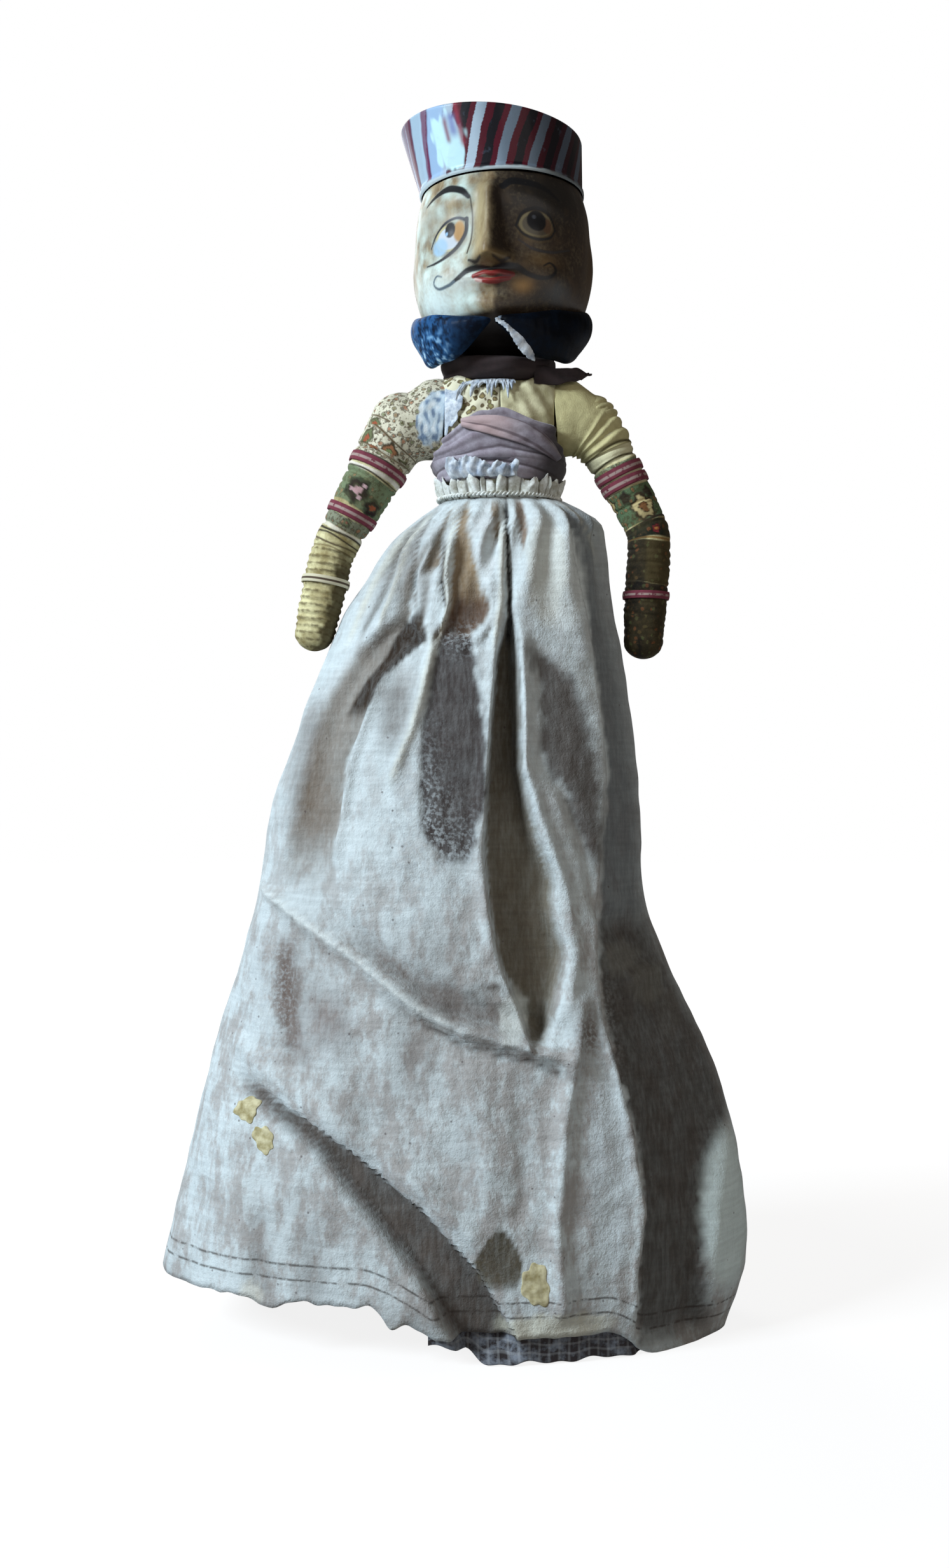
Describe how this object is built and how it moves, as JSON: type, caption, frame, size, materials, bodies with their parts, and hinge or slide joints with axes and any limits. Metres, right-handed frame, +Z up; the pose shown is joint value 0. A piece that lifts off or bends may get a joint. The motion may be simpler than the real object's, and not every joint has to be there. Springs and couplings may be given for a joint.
{
  "type": "rod puppet",
  "caption": "Carved and painted wooden puppet with stuffed arms and a long gathered skirt, on a hidden rod that turns its head.",
  "frame": {"origin": "centre of the rod's flat foot, on the surface that the puppet stands on", "axes": "+Z up along the rod, -Y the way the face looks, +X the puppet's left side"},
  "size_m": [0.2604, 0.1363, 0.5291],
  "materials": {
    "painted_face": "ochre paint under varnish",
    "hat_paint": "striped gloss paint",
    "beard_paint": "black gloss paint",
    "bare_wood": "bare turned wood",
    "iron": "old iron nail",
    "brown_cloth": "dark cotton",
    "plain_cotton": "olive yellow cotton",
    "printed_cotton": "small printed figures",
    "blue_cotton": "torn pale cotton",
    "sash_cotton": "mauve brown cotton",
    "skirt_cotton": "soiled off-white cotton",
    "string": "twisted cotton",
    "crimson_braid": "woven braid",
    "lining_cotton": "dark checked cotton",
    "yellow_cotton": "yellow patch cloth"
  },
  "bodies": {
    "body": {"chest_block": "bare_wood", "shirt_left": "plain_cotton", "shirt_right": "printed_cotton", "neck_cloth": "brown_cloth", "torn_patch": "blue_cotton", "sash_lower": "sash_cotton", "sash_upper": "sash_cotton", "sash_fold": "sash_cotton", "frayed_edge": "blue_cotton", "waist_ruffle": "skirt_cotton", "waist_string": "string", "skirt": "skirt_cotton", "hem_lining": "lining_cotton", "patch_upper": "yellow_cotton", "patch_lower": "yellow_cotton", "patch_at_tear": "yellow_cotton", "left_arm_nail": "iron", "right_arm_nail": "iron"},
    "head": {"main_rod": "bare_wood", "rod_collar": "bare_wood", "collar_pin": "iron", "head_nail": "iron", "head": "painted_face", "hat": "hat_paint", "hat_dowel": "bare_wood", "beard_left": "beard_paint", "beard_right": "beard_paint"},
    "left_shoulder": {"left_shoulder_cap": "plain_cotton"},
    "left_arm": {"left_upper_arm": "printed_cotton", "left_arm_band_1": "crimson_braid", "left_arm_band_2": "crimson_braid"},
    "left_hand": {"left_forearm": "printed_cotton", "left_wrist_band": "crimson_braid"},
    "right_shoulder": {"right_shoulder_cap": "printed_cotton"},
    "right_arm": {"right_upper_arm": "printed_cotton", "right_arm_band_1": "crimson_braid", "right_arm_band_2": "crimson_braid"},
    "right_hand": {"right_forearm": "printed_cotton", "right_wrist_band": "crimson_braid"}
  },
  "joints": [
    {"name": "head_turn", "type": "hinge", "parent": "body", "child": "head", "pos_m": [0, 0, 0.35], "axis": [0, 0, 1], "range_deg": [-75, 75]},
    {"name": "left_arm_swing", "type": "hinge", "parent": "body", "child": "left_shoulder", "pos_m": [0.0415, 0, 0.3995], "axis": [-1, 0, 0], "range_deg": [-60, 100]},
    {"name": "left_arm_lift", "type": "hinge", "parent": "left_shoulder", "child": "left_arm", "pos_m": [0.0415, 0, 0.3995], "axis": [0, -1, 0], "range_deg": [0, 95]},
    {"name": "left_elbow_bend", "type": "hinge", "parent": "left_arm", "child": "left_hand", "pos_m": [0.0675, 0, 0.35], "axis": [-1, 0, 0], "range_deg": [-25, 85]},
    {"name": "right_arm_swing", "type": "hinge", "parent": "body", "child": "right_shoulder", "pos_m": [-0.0435, 0, 0.3985], "axis": [-1, 0, 0], "range_deg": [-60, 100]},
    {"name": "right_arm_lift", "type": "hinge", "parent": "right_shoulder", "child": "right_arm", "pos_m": [-0.0435, 0, 0.3985], "axis": [0, 1, 0], "range_deg": [0, 95]},
    {"name": "right_elbow_bend", "type": "hinge", "parent": "right_arm", "child": "right_hand", "pos_m": [-0.0745, 0, 0.3425], "axis": [-1, 0, 0], "range_deg": [-25, 85]}
  ]
}
